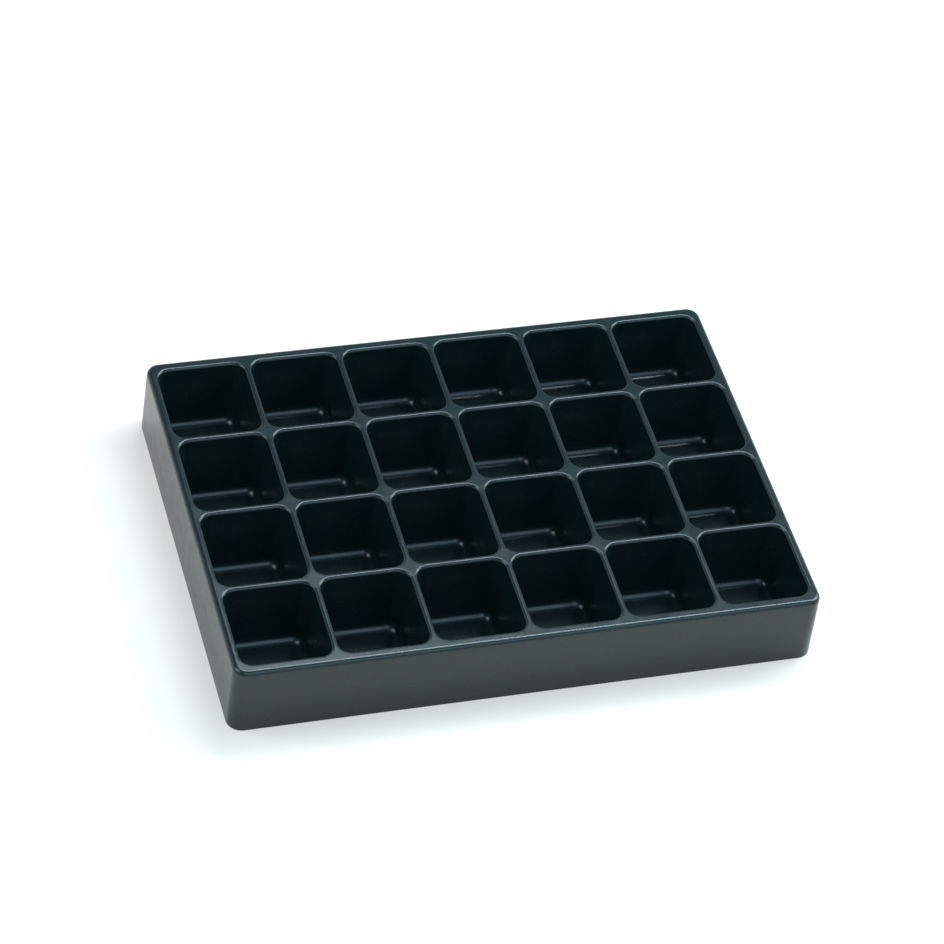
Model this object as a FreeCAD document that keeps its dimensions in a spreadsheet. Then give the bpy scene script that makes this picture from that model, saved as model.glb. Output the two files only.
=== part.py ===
"""Vacuum-formed tray of 24 pockets: one sheet, drawn down into the pockets and over the outside
into a skirt that the tray stands on. Millimetres. The origin is at the middle of the footprint,
X runs along the long side, Y across it, and Z is up."""

import FreeCAD, Part
import Sketcher
import os
import sys
from math import pi

from FreeCAD import Vector

SIZES = (
    ("pockets_long", 6, "pockets along the long side"),
    ("pockets_wide", 4, "pockets along the short side"),
    ("pitch_long", 55.0, "pocket spacing along the long side"),
    ("pitch_wide", 58.0, "pocket spacing along the short side"),
    ("web_width", 3.5, "deck left between two neighbouring pocket walls"),
    ("pocket_depth", 42.0, "deck to pocket floor"),
    ("pocket_draft", 5.0, "lean of the pocket walls, degrees"),
    ("pocket_corner", 7.0, "plan radius of a pocket's corners"),
    ("least_corner", 0.8, "plan radius under which no pocket corner shrinks"),
    ("floor_easing", 2.6, "bevel where a pocket's walls meet its floor"),
    ("lip_easing", 1.0, "bevel around the pocket mouths"),
    ("end_margin", 3.4, "deck past the pocket grid at the two ends"),
    ("side_margin", 5.2, "deck past the pocket grid at the two long sides"),
    ("tray_height", 45.0, "rim of the skirt to the deck"),
    ("skirt_draft", 1.3, "outward lean of the skirt, degrees"),
    ("skirt_corner", 7.6, "plan radius of the tray's four corners at the deck"),
    ("shoulder_radius", 2.8, "rounding between the deck and the skirt"),
    ("sheet", 1.0, "wall of the deck and the skirt"),
    ("pocket_wall", 0.8, "wall of the pockets, where the sheet is drawn thinner"),
    ("tool_clearance", 2.0, "how far the cutting bodies run past the tray"),
)

FULL_LONG = "(sizes.pockets_long * sizes.pitch_long)"
FULL_WIDE = "(sizes.pockets_wide * sizes.pitch_wide)"
POCKET_LEAN = "tan(sizes.pocket_draft * 1 deg)"
CORNER_SHARE = "(2 - sqrt(2))"
LIP_EASING = "min(sizes.lip_easing; 0.4 * sizes.web_width)"
FLOOR_EASING = "min(sizes.floor_easing; 0.5 * sizes.pocket_depth)"
INNER_SHOULDER = (
    f"max({CORNER_SHARE} * (sizes.shoulder_radius - sizes.sheet); 0.2 * sizes.sheet) * 1 mm")
LEVEL_TOLERANCE = 1e-4
FIRST_X = f"((sizes.pitch_long - {FULL_LONG}) / 2)"
FIRST_Y = f"((sizes.pitch_wide - {FULL_WIDE}) / 2)"


def make_sheet(doc):
    """The driving dimensions, one alias each."""
    sheet = doc.addObject("Spreadsheet::Sheet", "sizes")
    for row, (alias, value, note) in enumerate(SIZES, start=1):
        sheet.set(f"A{row}", note)
        sheet.set(f"B{row}", str(value))
        sheet.setAlias(f"B{row}", alias)
    doc.recompute()
    return sheet


def new_body(doc, name):
    return doc.addObject("PartDesign::Body", name)


def origin_feature(body, role):
    return next(f for f in body.Origin.OriginFeatures if f.Role == role)


def rounded_outline(body, name, level, length, width, corner, centre_x="0", centre_y="0"):
    """A sketch at a height: a rectangle with rounded corners, about a centre of its own."""
    sketch = body.newObject("Sketcher::SketchObject", name)
    sketch.AttachmentSupport = [(origin_feature(body, "XY_Plane"), "")]
    sketch.MapMode = "FlatFace"
    sketch.setExpression("AttachmentOffset.Base.x", f"({centre_x}) * 1 mm")
    sketch.setExpression("AttachmentOffset.Base.y", f"({centre_y}) * 1 mm")
    sketch.setExpression("AttachmentOffset.Base.z", f"({level}) * 1 mm")
    reach_x, reach_y, bend = 25.0, 15.0, 5.0
    centres = ((reach_x, reach_y), (-reach_x, reach_y), (-reach_x, -reach_y), (reach_x, -reach_y))
    arcs = []
    for turn, (x, y) in enumerate(centres):
        circle = Part.Circle(Vector(x, y, 0), Vector(0, 0, 1), bend)
        arc = Part.ArcOfCircle(circle, turn * pi / 2, (turn + 1) * pi / 2)
        arcs.append(sketch.addGeometry(arc, False))
    lines = []
    for number, arc in enumerate(arcs):
        after = arcs[(number + 1) % 4]
        segment = Part.LineSegment(sketch.getPoint(arc, 2), sketch.getPoint(after, 1))
        line = sketch.addGeometry(segment, False)
        lines.append(line)
        sketch.addConstraint(Sketcher.Constraint("Tangent", arc, 2, line, 1))
        sketch.addConstraint(Sketcher.Constraint("Tangent", line, 2, after, 1))
        sketch.addConstraint(Sketcher.Constraint("Vertical" if number % 2 else "Horizontal", line))
        if number:
            sketch.addConstraint(Sketcher.Constraint("Equal", arcs[0], arc))
    back, left, front, right = lines
    sketch.addConstraint(Sketcher.Constraint("Symmetric", arcs[0], 3, arcs[2], 3, -1, 1))
    drive(sketch, Sketcher.Constraint("Radius", arcs[0], bend), "corner", corner)
    across = Sketcher.Constraint("DistanceX", left, 1, right, 1, 2 * (reach_x + bend))
    drive(sketch, across, "length", length)
    along = Sketcher.Constraint("DistanceY", front, 1, back, 1, 2 * (reach_y + bend))
    drive(sketch, along, "width", width)
    return sketch


def drive(sketch, constraint, name, expression):
    """Adds a dimension and binds it to the sheet."""
    number = sketch.addConstraint(constraint)
    sketch.renameConstraint(number, name)
    sketch.setExpression(f"Constraints.{name}", f"({expression}) * 1 mm")


def pad(body, name, sketch, height):
    feature = body.newObject("PartDesign::Pad", name)
    feature.Profile = sketch
    feature.setExpression("Length", f"({height}) * 1 mm")
    sketch.Visibility = False
    return feature


def draft(doc, body, name, base, angle):
    """Leans the walls of a block inwards, upwards from its foot, which keeps its size."""
    doc.recompute()
    foot_level = base.Shape.BoundBox.ZMin
    walls = []
    for number, face in enumerate(base.Shape.Faces, start=1):
        box = face.BoundBox
        if box.ZLength > LEVEL_TOLERANCE:
            walls.append(f"Face{number}")
        elif abs(box.ZMin - foot_level) < LEVEL_TOLERANCE:
            foot = f"Face{number}"
    feature = body.newObject("PartDesign::Draft", name)
    feature.Base = (base, walls)
    feature.NeutralPlane = (base, [foot])
    feature.setExpression("Angle", f"({angle}) * 1 deg")
    body.Tip = feature
    return feature


def fillet(doc, body, name, base, chosen, radius):
    """Rounds the edges of a feature that a rule picks."""
    doc.recompute()
    feature = body.newObject("PartDesign::Fillet", name)
    feature.Base = (base, edges_of(base, chosen))
    feature.setExpression("Radius", f"({radius}) * 1 mm")
    body.Tip = feature
    return feature


def loft(body, name, outlines):
    """Straight walls from each outline to the next."""
    feature = body.newObject("PartDesign::AdditiveLoft", name)
    feature.Profile = outlines[0]
    feature.Sections = outlines[1:]
    feature.Ruled = True
    for outline in outlines:
        outline.Visibility = False
    body.Tip = feature
    return feature


def edges_of(feature, chosen):
    edges = enumerate(feature.Shape.Edges, start=1)
    return [f"Edge{number}" for number, edge in edges if chosen(edge)]


def lies_at(level):
    """The rule for edges that lie flat at one height."""
    def rule(edge):
        box = edge.BoundBox
        return abs(box.ZMin - level) < LEVEL_TOLERANCE and box.ZLength < LEVEL_TOLERANCE
    return rule


def spread(doc, body, name, base):
    """Repeats the whole of a one-pocket body over the grid."""
    doc.recompute()
    pattern = body.newObject("PartDesign::LinearPattern", name)
    pattern.TransformMode = "Whole shape"
    pattern.Direction = (origin_feature(body, "X_Axis"), [""])
    pattern.Direction2 = (origin_feature(body, "Y_Axis"), [""])
    pattern.Mode = "Extent"
    pattern.Mode2 = "Extent"
    pattern.setExpression("Length", "(sizes.pockets_long - 1) * sizes.pitch_long * 1 mm")
    pattern.setExpression("Length2", "(sizes.pockets_wide - 1) * sizes.pitch_wide * 1 mm")
    pattern.setExpression("Occurrences", "sizes.pockets_long")
    pattern.setExpression("Occurrences2", "sizes.pockets_wide")
    body.Tip = pattern
    doc.recompute()
    return pattern


def pocket_outline(body, name, depth, growth, corner):
    """A pocket's outline at a depth below the deck, grown past its mouth or shrunk inside it."""
    return rounded_outline(
        body, f"{body.Name}_{name}", f"sizes.tray_height - ({depth})",
        f"sizes.pitch_long - sizes.web_width + 2 * ({growth})",
        f"sizes.pitch_wide - sizes.web_width + 2 * ({growth})",
        f"max(sizes.pocket_corner + {corner}; sizes.least_corner)", FIRST_X, FIRST_Y)


def make_cavities(doc):
    """The air in the pockets, from above the eased mouth down to the floor."""
    body = new_body(doc, "cavities")
    knee = f"(sizes.pocket_depth - {FLOOR_EASING})"
    floor_growth = f"-sizes.pocket_depth * {POCKET_LEAN} - {FLOOR_EASING}"
    cavity = loft(body, "cavity", (
        pocket_outline(body, "above", "-sizes.tool_clearance", LIP_EASING, LIP_EASING),
        pocket_outline(body, "lip", "0", LIP_EASING, LIP_EASING),
        pocket_outline(body, "mouth", LIP_EASING, f"-{LIP_EASING} * {POCKET_LEAN}", "0"),
        pocket_outline(body, "knee", knee, f"-{knee} * {POCKET_LEAN}", "0"),
        pocket_outline(body, "floor", "sizes.pocket_depth", floor_growth, f"-{FLOOR_EASING}"),
    ))
    spread(doc, body, "all_cavities", cavity)
    return body


def make_cups(doc):
    """The outside of the pockets, seen from underneath, one wall away from the cavities."""
    body = new_body(doc, "cups")
    wall = "sizes.pocket_wall"
    depth = f"(sizes.pocket_depth + {wall})"
    easing = f"({FLOOR_EASING} + {CORNER_SHARE} * {wall})"
    knee = f"({depth} - {easing})"
    floor_growth = f"{wall} - {depth} * {POCKET_LEAN} - {easing}"
    cup = loft(body, "cup", (
        pocket_outline(body, "mouth", "0", wall, wall),
        pocket_outline(body, "knee", knee, f"{wall} - {knee} * {POCKET_LEAN}", wall),
        pocket_outline(body, "floor", depth, floor_growth, f"{wall} - {easing}"),
    ))
    spread(doc, body, "all_cups", cup)
    return body


def skirt_block(doc, body, wall, low, height):
    """The tray's outer block, or the hollow inside it, moved inwards by a wall."""
    lean = f"(sizes.tray_height - ({low})) * tan(sizes.skirt_draft * 1 deg)"
    foot = rounded_outline(
        body, f"{body.Name}_foot", low,
        f"{FULL_LONG} + 2 * (sizes.end_margin + {lean} - {wall})",
        f"{FULL_WIDE} + 2 * (sizes.side_margin + {lean} - {wall})",
        f"sizes.skirt_corner + {lean} - {wall}")
    block = pad(body, f"{body.Name}_block", foot, height)
    doc.recompute()
    return draft(doc, body, f"{body.Name}_draft", block, "sizes.skirt_draft")


def make_underside(doc, sheet, cups):
    """The hollow under the deck, with the cups left standing in it."""
    body = new_body(doc, "underside")
    hollow = skirt_block(doc, body, "sizes.sheet", "-sizes.tool_clearance",
                         "sizes.tray_height - sizes.sheet + sizes.tool_clearance")
    doc.recompute()
    rim = edges_of(hollow, lies_at(sheet.tray_height - sheet.sheet))
    easing = body.newObject("PartDesign::Chamfer", "inner_shoulder")
    easing.Base = (hollow, rim)
    easing.setExpression("Size", INNER_SHOULDER)
    cut(doc, body, "around_cups", [cups])
    return body


def cut(doc, body, name, tools):
    boolean = body.newObject("PartDesign::Boolean", name)
    boolean.setObjects(tools)
    boolean.Type = "Cut"
    body.Tip = boolean
    doc.recompute()
    return boolean


def make_tray(doc, sheet, underside, cavities):
    """The formed sheet: the outer block with the underside and the pockets taken out."""
    body = new_body(doc, "tray")
    body.Label = "tray"
    block = skirt_block(doc, body, "0", "0", "sizes.tray_height")
    fillet(doc, body, "shoulder", block, lies_at(sheet.tray_height), "sizes.shoulder_radius")
    cut(doc, body, "formed_sheet", [underside, cavities])
    body.Placement = FreeCAD.Placement()
    return body


def check(doc, bodies):
    """Stops before anything is written if a feature or a finished shape is wrong."""
    for item in doc.Objects:
        if "Invalid" in item.State or "Error" in item.State:
            sys.exit(f"{item.Name} failed: {item.State}")
    for body in bodies:
        if body.Shape.isNull() or not body.Shape.isValid():
            sys.exit(f"{body.Label} has no valid shape")
        if len(body.Shape.Solids) != 1:
            sys.exit(f"{body.Label} is {len(body.Shape.Solids)} solids")


def main():
    doc = FreeCAD.newDocument("tray_document")
    sheet = make_sheet(doc)
    cavities = make_cavities(doc)
    cups = make_cups(doc)
    underside = make_underside(doc, sheet, cups)
    tray = make_tray(doc, sheet, underside, cavities)
    doc.recompute()
    check(doc, [tray])
    os.makedirs("parts", exist_ok=True)
    tray.Shape.exportStep(f"parts/{tray.Label}.step")


main()
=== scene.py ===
from math import cos, pi, radians, sin, tan

import bmesh
import bpy
from mathutils import Matrix, Vector


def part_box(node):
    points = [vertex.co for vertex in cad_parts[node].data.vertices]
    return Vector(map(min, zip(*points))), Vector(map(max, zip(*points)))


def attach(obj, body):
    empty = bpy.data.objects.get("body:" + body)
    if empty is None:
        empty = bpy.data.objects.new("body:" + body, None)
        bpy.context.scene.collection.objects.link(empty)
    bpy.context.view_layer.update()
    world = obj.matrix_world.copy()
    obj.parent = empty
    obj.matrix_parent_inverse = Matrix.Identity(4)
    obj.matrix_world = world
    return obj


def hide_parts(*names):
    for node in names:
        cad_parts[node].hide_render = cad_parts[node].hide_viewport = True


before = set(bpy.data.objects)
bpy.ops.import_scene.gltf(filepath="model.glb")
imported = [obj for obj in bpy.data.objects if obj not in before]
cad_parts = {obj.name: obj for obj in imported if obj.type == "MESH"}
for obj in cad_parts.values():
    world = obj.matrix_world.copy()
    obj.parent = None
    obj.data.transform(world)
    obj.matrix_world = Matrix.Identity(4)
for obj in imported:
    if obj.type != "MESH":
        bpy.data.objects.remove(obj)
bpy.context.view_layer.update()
scene = bpy.context.scene

# ---------------------------------------------------------------------------------------------
# The tray: one sheet of black plastic, heated and drawn by vacuum down into the pockets and over
# the mould's outside into a skirt. Deck and skirt keep the full gauge, and the pockets are
# thinner. Both sides of the sheet are grown here and closed by the trimmed rim.
# ---------------------------------------------------------------------------------------------
tray_low, tray_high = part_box("tray")
tray_height = tray_high.z - tray_low.z
skirt_draft = radians(1.3)
skirt_spread = 2 * tray_height * tan(skirt_draft)

TRAY_SIZES = {
    "Pockets Long": 6,
    "Pockets Wide": 4,
    "Pitch Long": 0.055,
    "Pitch Wide": 0.058,
    "Web Width": 0.0035,
    "Pocket Depth": 0.042,
    "Pocket Slope": tan(radians(5.0)),
    "Pocket Corner": 0.0074,
    "Pocket Gauge": 0.0008,
    "Lip Radius": 0.0016,
    "Floor Radius": 0.0055,
    "Deck Long": tray_high.x - tray_low.x - skirt_spread,
    "Deck Wide": tray_high.y - tray_low.y - skirt_spread,
    "Deck Corner": 0.0076,
    "Deck Gauge": 0.0010,
    "Shoulder Radius": 0.0028,
    "Skirt Height": tray_height,
    "Skirt Slope": tan(skirt_draft),
    "Corner Steps": 12,
    "Bend Steps": 8,
}
BLACK_COOL = (0.0028, 0.0120, 0.0140, 1.0)
BLACK_WARM = (0.0038, 0.0132, 0.0130, 1.0)
TINT_SCALE = 45.0
SHEEN = (0.22, 0.28)
SHEEN_SCALE = 120.0
WAVE_SCALE = 60.0
WAVE_HEIGHT = 0.000007
GRAIN_SCALE = 2500.0
GRAIN_HEIGHT = 0.000004
NOISE_RANGE = (0.3, 0.7)
PLASTIC_IOR = 1.5
FLAT_MARGIN = 0.00012
WELD = 1e-6
SHARP_ANGLE = radians(30)


class Formula:
    """A number inside a geometry tree. Sums, products and tests of it become Math nodes."""

    def __init__(self, tree, socket):
        self.tree, self.socket = tree, socket

    def combined(self, operation, first, second):
        node = self.tree.nodes.new("ShaderNodeMath")
        node.operation = operation
        connect(self.tree, first, node.inputs[0])
        connect(self.tree, second, node.inputs[1])
        return Formula(self.tree, node.outputs[0])

    def __add__(self, other): return self.combined("ADD", self, other)
    def __radd__(self, other): return self.combined("ADD", other, self)
    def __sub__(self, other): return self.combined("SUBTRACT", self, other)
    def __rsub__(self, other): return self.combined("SUBTRACT", other, self)
    def __mul__(self, other): return self.combined("MULTIPLY", self, other)
    def __rmul__(self, other): return self.combined("MULTIPLY", other, self)
    def __neg__(self): return self.combined("MULTIPLY", self, -1.0)
    def __lt__(self, other): return self.combined("LESS_THAN", self, other)
    def __gt__(self, other): return self.combined("GREATER_THAN", self, other)


def connect(tree, source, target):
    """Wires a socket or a formula into an input, or sets the input to a plain value."""
    if isinstance(source, Formula):
        source = source.socket
    if isinstance(source, bpy.types.NodeSocket):
        tree.links.new(source, target)
    else:
        target.default_value = source


def add(tree, kind, settings=None, **inputs):
    """Adds a node, with its inputs named in lower case, and returns the node's first output."""
    node = tree.nodes.new(kind)
    for name, value in (settings or {}).items():
        setattr(node, name, value)
    for name, value in inputs.items():
        wanted = name.replace("_", " ")
        socket = next(s for s in node.inputs if s.enabled and s.name.lower() == wanted)
        connect(tree, value, socket)
    return next(s for s in node.outputs if s.enabled)


def at(tree, x=0.0, y=0.0, z=0.0):
    """A vector made of plain numbers or formulas."""
    return add(tree, "ShaderNodeCombineXYZ", x=x, y=y, z=z)


def place(tree):
    """The node that splits each point's place into X, Y and Z."""
    return add(tree, "ShaderNodeSeparateXYZ", vector=add(tree, "GeometryNodeInputPosition")).node


def by_index(tree, data_type, values):
    """A field that gives each point of a row its own value."""
    switch = tree.nodes.new("GeometryNodeIndexSwitch")
    switch.data_type = data_type
    while len(switch.index_switch_items) < len(values):
        switch.index_switch_items.new()
    connect(tree, add(tree, "GeometryNodeInputIndex"), switch.inputs["Index"])
    for number, value in enumerate(values):
        connect(tree, value, switch.inputs[number + 1])
    return switch.outputs[0]


def rounded_rectangle(tree, length, width, corner, steps):
    """An outline in plan, centred on the origin."""
    sharp = add(tree, "GeometryNodeCurvePrimitiveQuadrilateral", width=length, height=width)
    return rounded(tree, sharp, corner, steps)


def rounded(tree, curve, radius, steps):
    """Rounds a curve's corners. The radius may differ from point to point."""
    return add(tree, "GeometryNodeFilletCurve", {"mode": "POLY"},
               curve=curve, radius=radius, count=steps)


def swept(tree, outline, bends, steps):
    """Draws a section around an outline. A bend is how far out, at what height, how round."""
    places = by_index(tree, "VECTOR", [at(tree, x=out, y=-height) for out, height, _ in bends])
    dots = add(tree, "GeometryNodePoints", count=len(bends), position=places)
    line = add(tree, "GeometryNodePointsToCurves", points=dots)
    radii = by_index(tree, "FLOAT", [radius for _, _, radius in bends])
    section = rounded(tree, line, radii, steps)
    upright = add(tree, "GeometryNodeSetCurveNormal", {"mode": "Z_UP"}, curve=outline)
    return add(tree, "GeometryNodeCurveToMesh", curve=upright, profile_curve=section)


def open_edges_filled(tree, mesh, level, above):
    """A flat face, with holes, inside the open edges of a mesh that lie past a level."""
    faces_beside = Formula(tree, add(tree, "GeometryNodeInputMeshEdgeNeighbors"))
    height = Formula(tree, place(tree).outputs["Z"])
    past = height > level if above else height < level
    open_and_past = (faces_beside < 1.5) * past
    loops = add(tree, "GeometryNodeMeshToCurve", mesh=mesh, selection=open_and_past)
    return add(tree, "GeometryNodeFillCurve", curve=loops)


def raised(tree, mesh, height):
    return add(tree, "GeometryNodeSetPosition", geometry=mesh, offset=at(tree, z=height))


def leant(tree, mesh, slope):
    """Upright walls leant inwards with depth, so that their corners keep their radius."""
    spot = place(tree)
    inwards = Formula(tree, spot.outputs["Z"]) * slope
    moves = [inwards * Formula(tree, add(tree, "ShaderNodeMath", {"operation": "SIGN"},
                                         value=spot.outputs[axis])) for axis in "XY"]
    return add(tree, "GeometryNodeSetPosition", geometry=mesh, offset=at(tree, *moves))


def joined(tree, *parts):
    """The parts as one mesh, in which points that meet are one."""
    node = tree.nodes.new("GeometryNodeJoinGeometry")
    for part in parts:
        tree.links.new(part, node.inputs[0])
    return add(tree, "GeometryNodeMergeByDistance", geometry=node.outputs[0], distance=WELD)


def skin(tree, size, top, wall, lip_radius, floor_radius, skirt_wall, shoulder_radius):
    """One side of the sheet: pockets, deck and skirt, each its wall away from the outer side.
    The outer side has no walls, and its deck is at height zero."""
    flat = FLAT_MARGIN
    floor = size["Pocket Depth"] + wall
    slope = size["Pocket Slope"]
    outline = rounded_rectangle(
        tree, size["Pitch Long"] - size["Web Width"], size["Pitch Wide"] - size["Web Width"],
        size["Pocket Corner"], size["Corner Steps"])
    pocket = leant(tree, swept(tree, outline, (
        (wall + lip_radius + flat, -top, 0.0),
        (wall, -top, lip_radius),
        (wall, -floor, floor_radius),
        (wall - floor_radius - flat, -floor, 0.0),
    ), size["Bend Steps"]), slope)
    half_way = -0.5 * floor
    base = raised(tree, open_edges_filled(tree, pocket, half_way, above=False), -floor)
    cup = joined(tree, pocket, base)
    grid = add(tree, "GeometryNodeMeshGrid",
               size_x=(size["Pockets Long"] - 1.0) * size["Pitch Long"],
               size_y=(size["Pockets Wide"] - 1.0) * size["Pitch Wide"],
               vertices_x=size["Pockets Long"], vertices_y=size["Pockets Wide"])
    copies = add(tree, "GeometryNodeInstanceOnPoints", points=grid, instance=cup)
    cups = add(tree, "GeometryNodeRealizeInstances", geometry=copies)
    edge = rounded_rectangle(tree, size["Deck Long"], size["Deck Wide"],
                             size["Deck Corner"], size["Corner Steps"])
    skirt_top = top * size["Skirt Slope"] - skirt_wall
    skirt = swept(tree, edge, (
        (skirt_top - shoulder_radius - flat, -top, 0.0),
        (skirt_top, -top, shoulder_radius),
        (size["Skirt Height"] * size["Skirt Slope"] - skirt_wall, -size["Skirt Height"], 0.0),
    ), size["Bend Steps"])
    sides = joined(tree, cups, skirt)
    below_deck = -top - 2 * WELD
    deck = raised(tree, open_edges_filled(tree, sides, below_deck, above=True), -top)
    return joined(tree, sides, deck)


def tray_tree(sizes, material):
    """The whole tray as a tree of nodes, with one input for each size."""
    tree = bpy.data.node_groups.new("formed_tray", "GeometryNodeTree")
    whole = ("Pockets Long", "Pockets Wide", "Corner Steps", "Bend Steps")
    for name in sizes:
        kind = "NodeSocketInt" if name in whole else "NodeSocketFloat"
        tree.interface.new_socket(name, in_out="INPUT", socket_type=kind)
    tree.interface.new_socket("Tray", in_out="OUTPUT", socket_type="NodeSocketGeometry")
    entry = tree.nodes.new("NodeGroupInput")
    size = {name: Formula(tree, entry.outputs[name]) for name in sizes}
    gauge, thin = size["Deck Gauge"], size["Pocket Gauge"]
    lip, floor, shoulder = size["Lip Radius"], size["Floor Radius"], size["Shoulder Radius"]
    face = skin(tree, size, 0.0, 0.0, lip, floor, 0.0, shoulder)
    back = skin(tree, size, gauge, thin, lip - thin, floor + thin, gauge, shoulder - gauge)
    both = joined(tree, face, back)
    rim_level = -size["Skirt Height"] + WELD
    rim = raised(tree, open_edges_filled(tree, both, rim_level, above=False), -size["Skirt Height"])
    closed = raised(tree, joined(tree, both, rim), size["Skirt Height"])
    real = add(tree, "GeometryNodeRealizeInstances", geometry=closed)
    coated = add(tree, "GeometryNodeSetMaterial", geometry=real, material=material)
    out = tree.nodes.new("NodeGroupOutput")
    tree.links.new(coated, out.inputs["Tray"])
    return tree


def grown(name, tree, sizes):
    """Runs a tree once with its sizes set and keeps the result as a plain mesh."""
    holder = bpy.data.objects.new(name, bpy.data.meshes.new(name))
    scene.collection.objects.link(holder)
    modifier = holder.modifiers.new(name, "NODES")
    modifier.node_group = tree
    for item in tree.interface.items_tree:
        if item.in_out == "INPUT":
            modifier[item.identifier] = sizes[item.name]
    ready = holder.evaluated_get(bpy.context.evaluated_depsgraph_get())
    mesh = bpy.data.meshes.new_from_object(ready)
    holder.modifiers.remove(modifier)
    holder.data = mesh
    return holder


def black_plastic():
    """Black styrene with a satin skin: a cool tint that drifts a little over the sheet, patches
    that shine more or less, a fine grain and a slow waviness left by the forming."""
    material = bpy.data.materials.new("black_plastic")
    material.use_nodes = True
    tree = material.node_tree
    finish = tree.nodes["Principled BSDF"]
    finish.inputs["IOR"].default_value = PLASTIC_IOR
    where = tree.nodes.new("ShaderNodeTexCoord").outputs["Object"]

    def cloud(scale, detail):
        noise = tree.nodes.new("ShaderNodeTexNoise")
        tree.links.new(where, noise.inputs["Vector"])
        noise.inputs["Scale"].default_value = scale
        noise.inputs["Detail"].default_value = detail
        return noise.outputs["Fac"]

    def spread_over(value, low, high):
        ramp = tree.nodes.new("ShaderNodeMapRange")
        tree.links.new(value, ramp.inputs["Value"])
        ramp.inputs["From Min"].default_value = NOISE_RANGE[0]
        ramp.inputs["From Max"].default_value = NOISE_RANGE[1]
        ramp.inputs["To Min"].default_value = low
        ramp.inputs["To Max"].default_value = high
        return ramp.outputs["Result"]

    tint = tree.nodes.new("ShaderNodeMix")
    tint.data_type = "RGBA"
    tree.links.new(spread_over(cloud(TINT_SCALE, 2.0), 0.0, 1.0), tint.inputs[0])
    tint.inputs[6].default_value = BLACK_COOL
    tint.inputs[7].default_value = BLACK_WARM
    tree.links.new(tint.outputs[2], finish.inputs["Base Color"])
    tree.links.new(spread_over(cloud(SHEEN_SCALE, 3.0), *SHEEN), finish.inputs["Roughness"])
    waves = tree.nodes.new("ShaderNodeBump")
    waves.inputs["Distance"].default_value = WAVE_HEIGHT
    tree.links.new(cloud(WAVE_SCALE, 1.0), waves.inputs["Height"])
    grain = tree.nodes.new("ShaderNodeBump")
    grain.inputs["Distance"].default_value = GRAIN_HEIGHT
    tree.links.new(cloud(GRAIN_SCALE, 2.0), grain.inputs["Height"])
    tree.links.new(waves.outputs["Normal"], grain.inputs["Normal"])
    tree.links.new(grain.outputs["Normal"], finish.inputs["Normal"])
    return material


def closed_up(piece):
    """Welds a piece, turns its faces outwards, and smooths it but for its sharp edges."""
    shell = bmesh.new()
    shell.from_mesh(piece.data)
    bmesh.ops.remove_doubles(shell, verts=shell.verts, dist=WELD)
    bmesh.ops.recalc_face_normals(shell, faces=shell.faces)
    for face in shell.faces:
        face.smooth = True
    for edge in shell.edges:
        edge.smooth = edge.calc_face_angle(0.0) < SHARP_ANGLE
    shell.to_mesh(piece.data)
    shell.free()


tray = grown("tray_sheet", tray_tree(TRAY_SIZES, black_plastic()), TRAY_SIZES)
closed_up(tray)
tray.data.transform(Matrix.Translation((0.0, 0.0, tray_low.z)))

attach(tray, "root")
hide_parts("tray")

# ---------------------------------------------------------------------------------------------
# The floor: a wide sheet of white paper that the tray stands on. It glows a little where it is
# seen, so that it is white, and keeps the tray's shadow.
# ---------------------------------------------------------------------------------------------
FLOOR_SIZE = 8.0
PAPER = (0.93, 0.85, 0.77, 1.0)
PAPER_GLOW = 0.38
WHITE = (1.0, 1.0, 1.0, 1.0)


def greatest(tree, first, second):
    """The greater of two values, in the tree of a material or of the room."""
    node = tree.nodes.new("ShaderNodeMath")
    node.operation = "MAXIMUM"
    tree.links.new(first, node.inputs[0])
    tree.links.new(second, node.inputs[1])
    return node.outputs[0]


def blended(tree, share, first, second):
    """The first of two shaders, with a share of the second."""
    node = tree.nodes.new("ShaderNodeMixShader")
    tree.links.new(share, node.inputs[0])
    tree.links.new(first, node.inputs[1])
    tree.links.new(second, node.inputs[2])
    return node.outputs[0]


def white_paper():
    material = bpy.data.materials.new("white_paper")
    material.use_nodes = True
    tree = material.node_tree
    tree.nodes.clear()
    paper = tree.nodes.new("ShaderNodeBsdfDiffuse")
    paper.inputs["Color"].default_value = PAPER
    glow = tree.nodes.new("ShaderNodeEmission")
    glow.inputs["Color"].default_value = WHITE
    ray = tree.nodes.new("ShaderNodeLightPath").outputs
    direct = greatest(tree, ray["Is Camera Ray"], ray["Is Glossy Ray"])
    share = tree.nodes.new("ShaderNodeMath")
    share.operation = "MULTIPLY"
    share.inputs[1].default_value = PAPER_GLOW
    tree.links.new(greatest(tree, direct, ray["Is Transmission Ray"]), share.inputs[0])
    out = tree.nodes.new("ShaderNodeOutputMaterial")
    both = blended(tree, share.outputs[0], paper.outputs[0], glow.outputs[0])
    tree.links.new(both, out.inputs["Surface"])
    return material


bpy.ops.mesh.primitive_plane_add(size=FLOOR_SIZE, location=(0.0, 0.0, tray_low.z))
floor = bpy.context.object
floor.name = "floor"
floor.data.materials.append(white_paper())

# ---------------------------------------------------------------------------------------------
# The light: a narrow soft lamp high up behind the tray, a square one at each side, a dim one in
# front, and a pale room that is white low down and blue-grey above.
# ---------------------------------------------------------------------------------------------
LAMP_COOL = (0.82, 1.0, 1.08)
LAMP_BLUE = (0.60, 1.0, 1.25)
ROOM_LOW = (1.0, 1.0, 1.0, 1.0)
ROOM_HIGH = (0.12, 0.23, 0.27, 1.0)
ROOM_FILL = (0.26, 0.28, 0.29, 1.0)
ROOM_FADE = (0.12, 0.55)
LAMP_DISTANCE = 1.6
FRONT_DISTANCE = 1.8


def plain_light(tree, colour):
    node = tree.nodes.new("ShaderNodeBackground")
    node.inputs["Color"].default_value = colour
    return node


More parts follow.
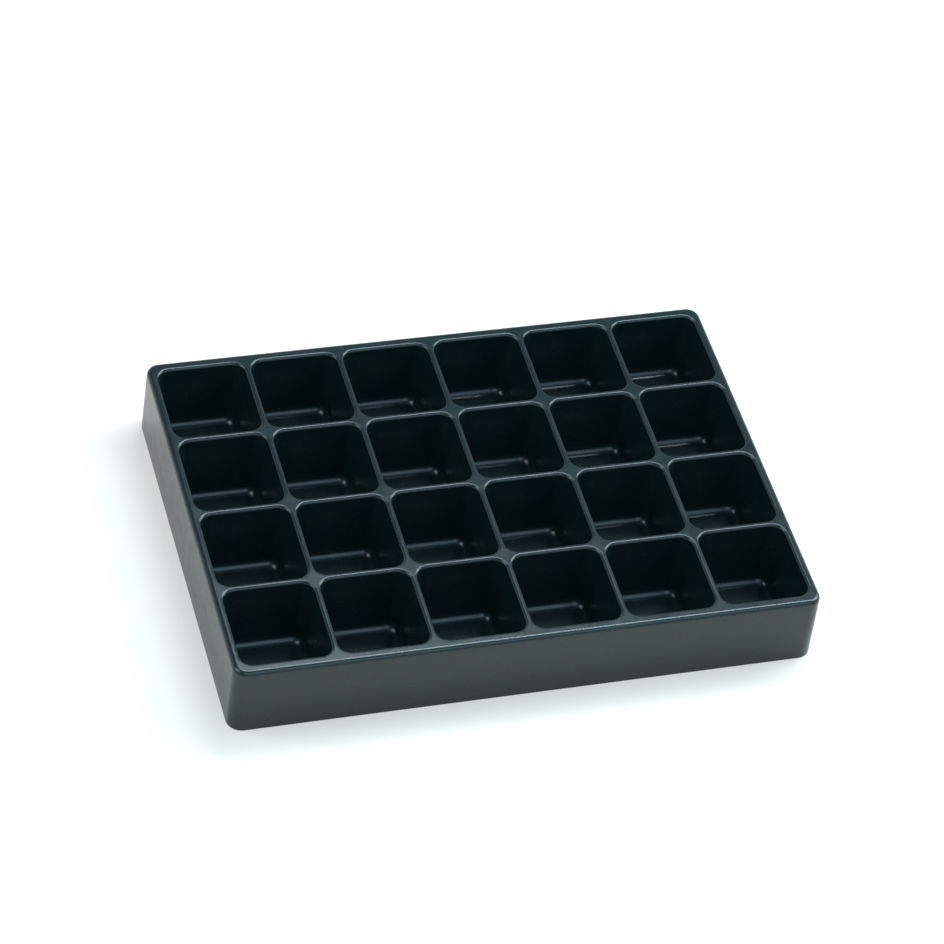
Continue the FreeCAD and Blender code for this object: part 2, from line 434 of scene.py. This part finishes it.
def pale_room():
    """White where it is seen, fading upwards where it is mirrored, and even where it fills."""
    world = bpy.data.worlds.new("room")
    world.use_nodes = True
    tree = world.node_tree
    tree.nodes.clear()
    where = tree.nodes.new("ShaderNodeTexCoord")
    split = tree.nodes.new("ShaderNodeSeparateXYZ")
    tree.links.new(where.outputs["Generated"], split.inputs[0])
    fade = tree.nodes.new("ShaderNodeMapRange")
    fade.interpolation_type = "SMOOTHSTEP"
    fade.inputs["From Min"].default_value = ROOM_FADE[0]
    fade.inputs["From Max"].default_value = ROOM_FADE[1]
    tree.links.new(split.outputs["Z"], fade.inputs["Value"])
    walls = tree.nodes.new("ShaderNodeMix")
    walls.data_type = "RGBA"
    walls.inputs[6].default_value = ROOM_LOW
    walls.inputs[7].default_value = ROOM_HIGH
    tree.links.new(fade.outputs["Result"], walls.inputs[0])
    mirrored = plain_light(tree, ROOM_LOW)
    tree.links.new(walls.outputs[2], mirrored.inputs["Color"])
    fill = plain_light(tree, ROOM_FILL)
    seen = plain_light(tree, WHITE)
    ray = tree.nodes.new("ShaderNodeLightPath").outputs
    clear = greatest(tree, ray["Is Glossy Ray"], ray["Is Transmission Ray"])
    unseen = blended(tree, clear, fill.outputs[0], mirrored.outputs[0])
    out = tree.nodes.new("ShaderNodeOutputWorld")
    tree.links.new(blended(tree, ray["Is Camera Ray"], unseen, seen.outputs[0]),
                   out.inputs["Surface"])
    return world


scene.world = pale_room()


def soft_lamp(name, direction, size, radiance, colour, distance=LAMP_DISTANCE):
    """A flat lamp that faces the tray. Its size is for a distance of one metre."""
    data = bpy.data.lights.new(name, "AREA")
    data.shape = "RECTANGLE"
    data.size, data.size_y = size[0] * distance, size[1] * distance
    data.energy = radiance * pi * data.size * data.size_y
    data.color = colour
    lamp = bpy.data.objects.new(name, data)
    scene.collection.objects.link(lamp)
    away = Vector(direction).normalized()
    facing = away.to_track_quat("Z", "Y").to_matrix()
    lamp.matrix_world = Matrix.Translation(away * distance) @ facing.to_4x4()


soft_lamp("back_lamp", (0.26, 0.35, 0.92), size=(0.60, 0.20), radiance=17.0, colour=LAMP_COOL)
soft_lamp("left_box", (-0.70, 0.10, 0.72), size=(0.50, 0.50), radiance=4.6, colour=LAMP_COOL)
soft_lamp("right_box", (0.74, 0.12, 0.66), size=(0.50, 0.50), radiance=9.5, colour=LAMP_COOL)
soft_lamp("front_lamp", (0.10, -0.62, 0.78), size=(0.90, 0.60), radiance=1.6, colour=LAMP_BLUE,
          distance=FRONT_DISTANCE)

# ---------------------------------------------------------------------------------------------
# The camera: a long lens from the front left, looking down, leaning a little to one side.
# ---------------------------------------------------------------------------------------------
CAMERA_BEARING = radians(21.3)
CAMERA_HEIGHT_ANGLE = radians(45.2)
CAMERA_LEAN = radians(8.9)
CAMERA_DISTANCE = 2.22
CAMERA_AIM = Vector((0.0061, 0.0282, 0.0225))
SENSOR_WIDTH = 36.0
FOCAL_LENGTH = 146.6

lens = bpy.data.cameras.new("camera")
lens.sensor_width = SENSOR_WIDTH
lens.lens = FOCAL_LENGTH
camera = bpy.data.objects.new("camera", lens)
scene.collection.objects.link(camera)
forward = Vector((sin(CAMERA_BEARING) * cos(CAMERA_HEIGHT_ANGLE),
                  cos(CAMERA_BEARING) * cos(CAMERA_HEIGHT_ANGLE), -sin(CAMERA_HEIGHT_ANGLE)))
level_view = forward.to_track_quat("-Z", "Y").to_matrix()
camera.matrix_world = (Matrix.Translation(CAMERA_AIM - CAMERA_DISTANCE * forward)
                       @ (level_view @ Matrix.Rotation(CAMERA_LEAN, 3, "Z")).to_4x4())
scene.camera = camera
scene.view_settings.view_transform = "Standard"
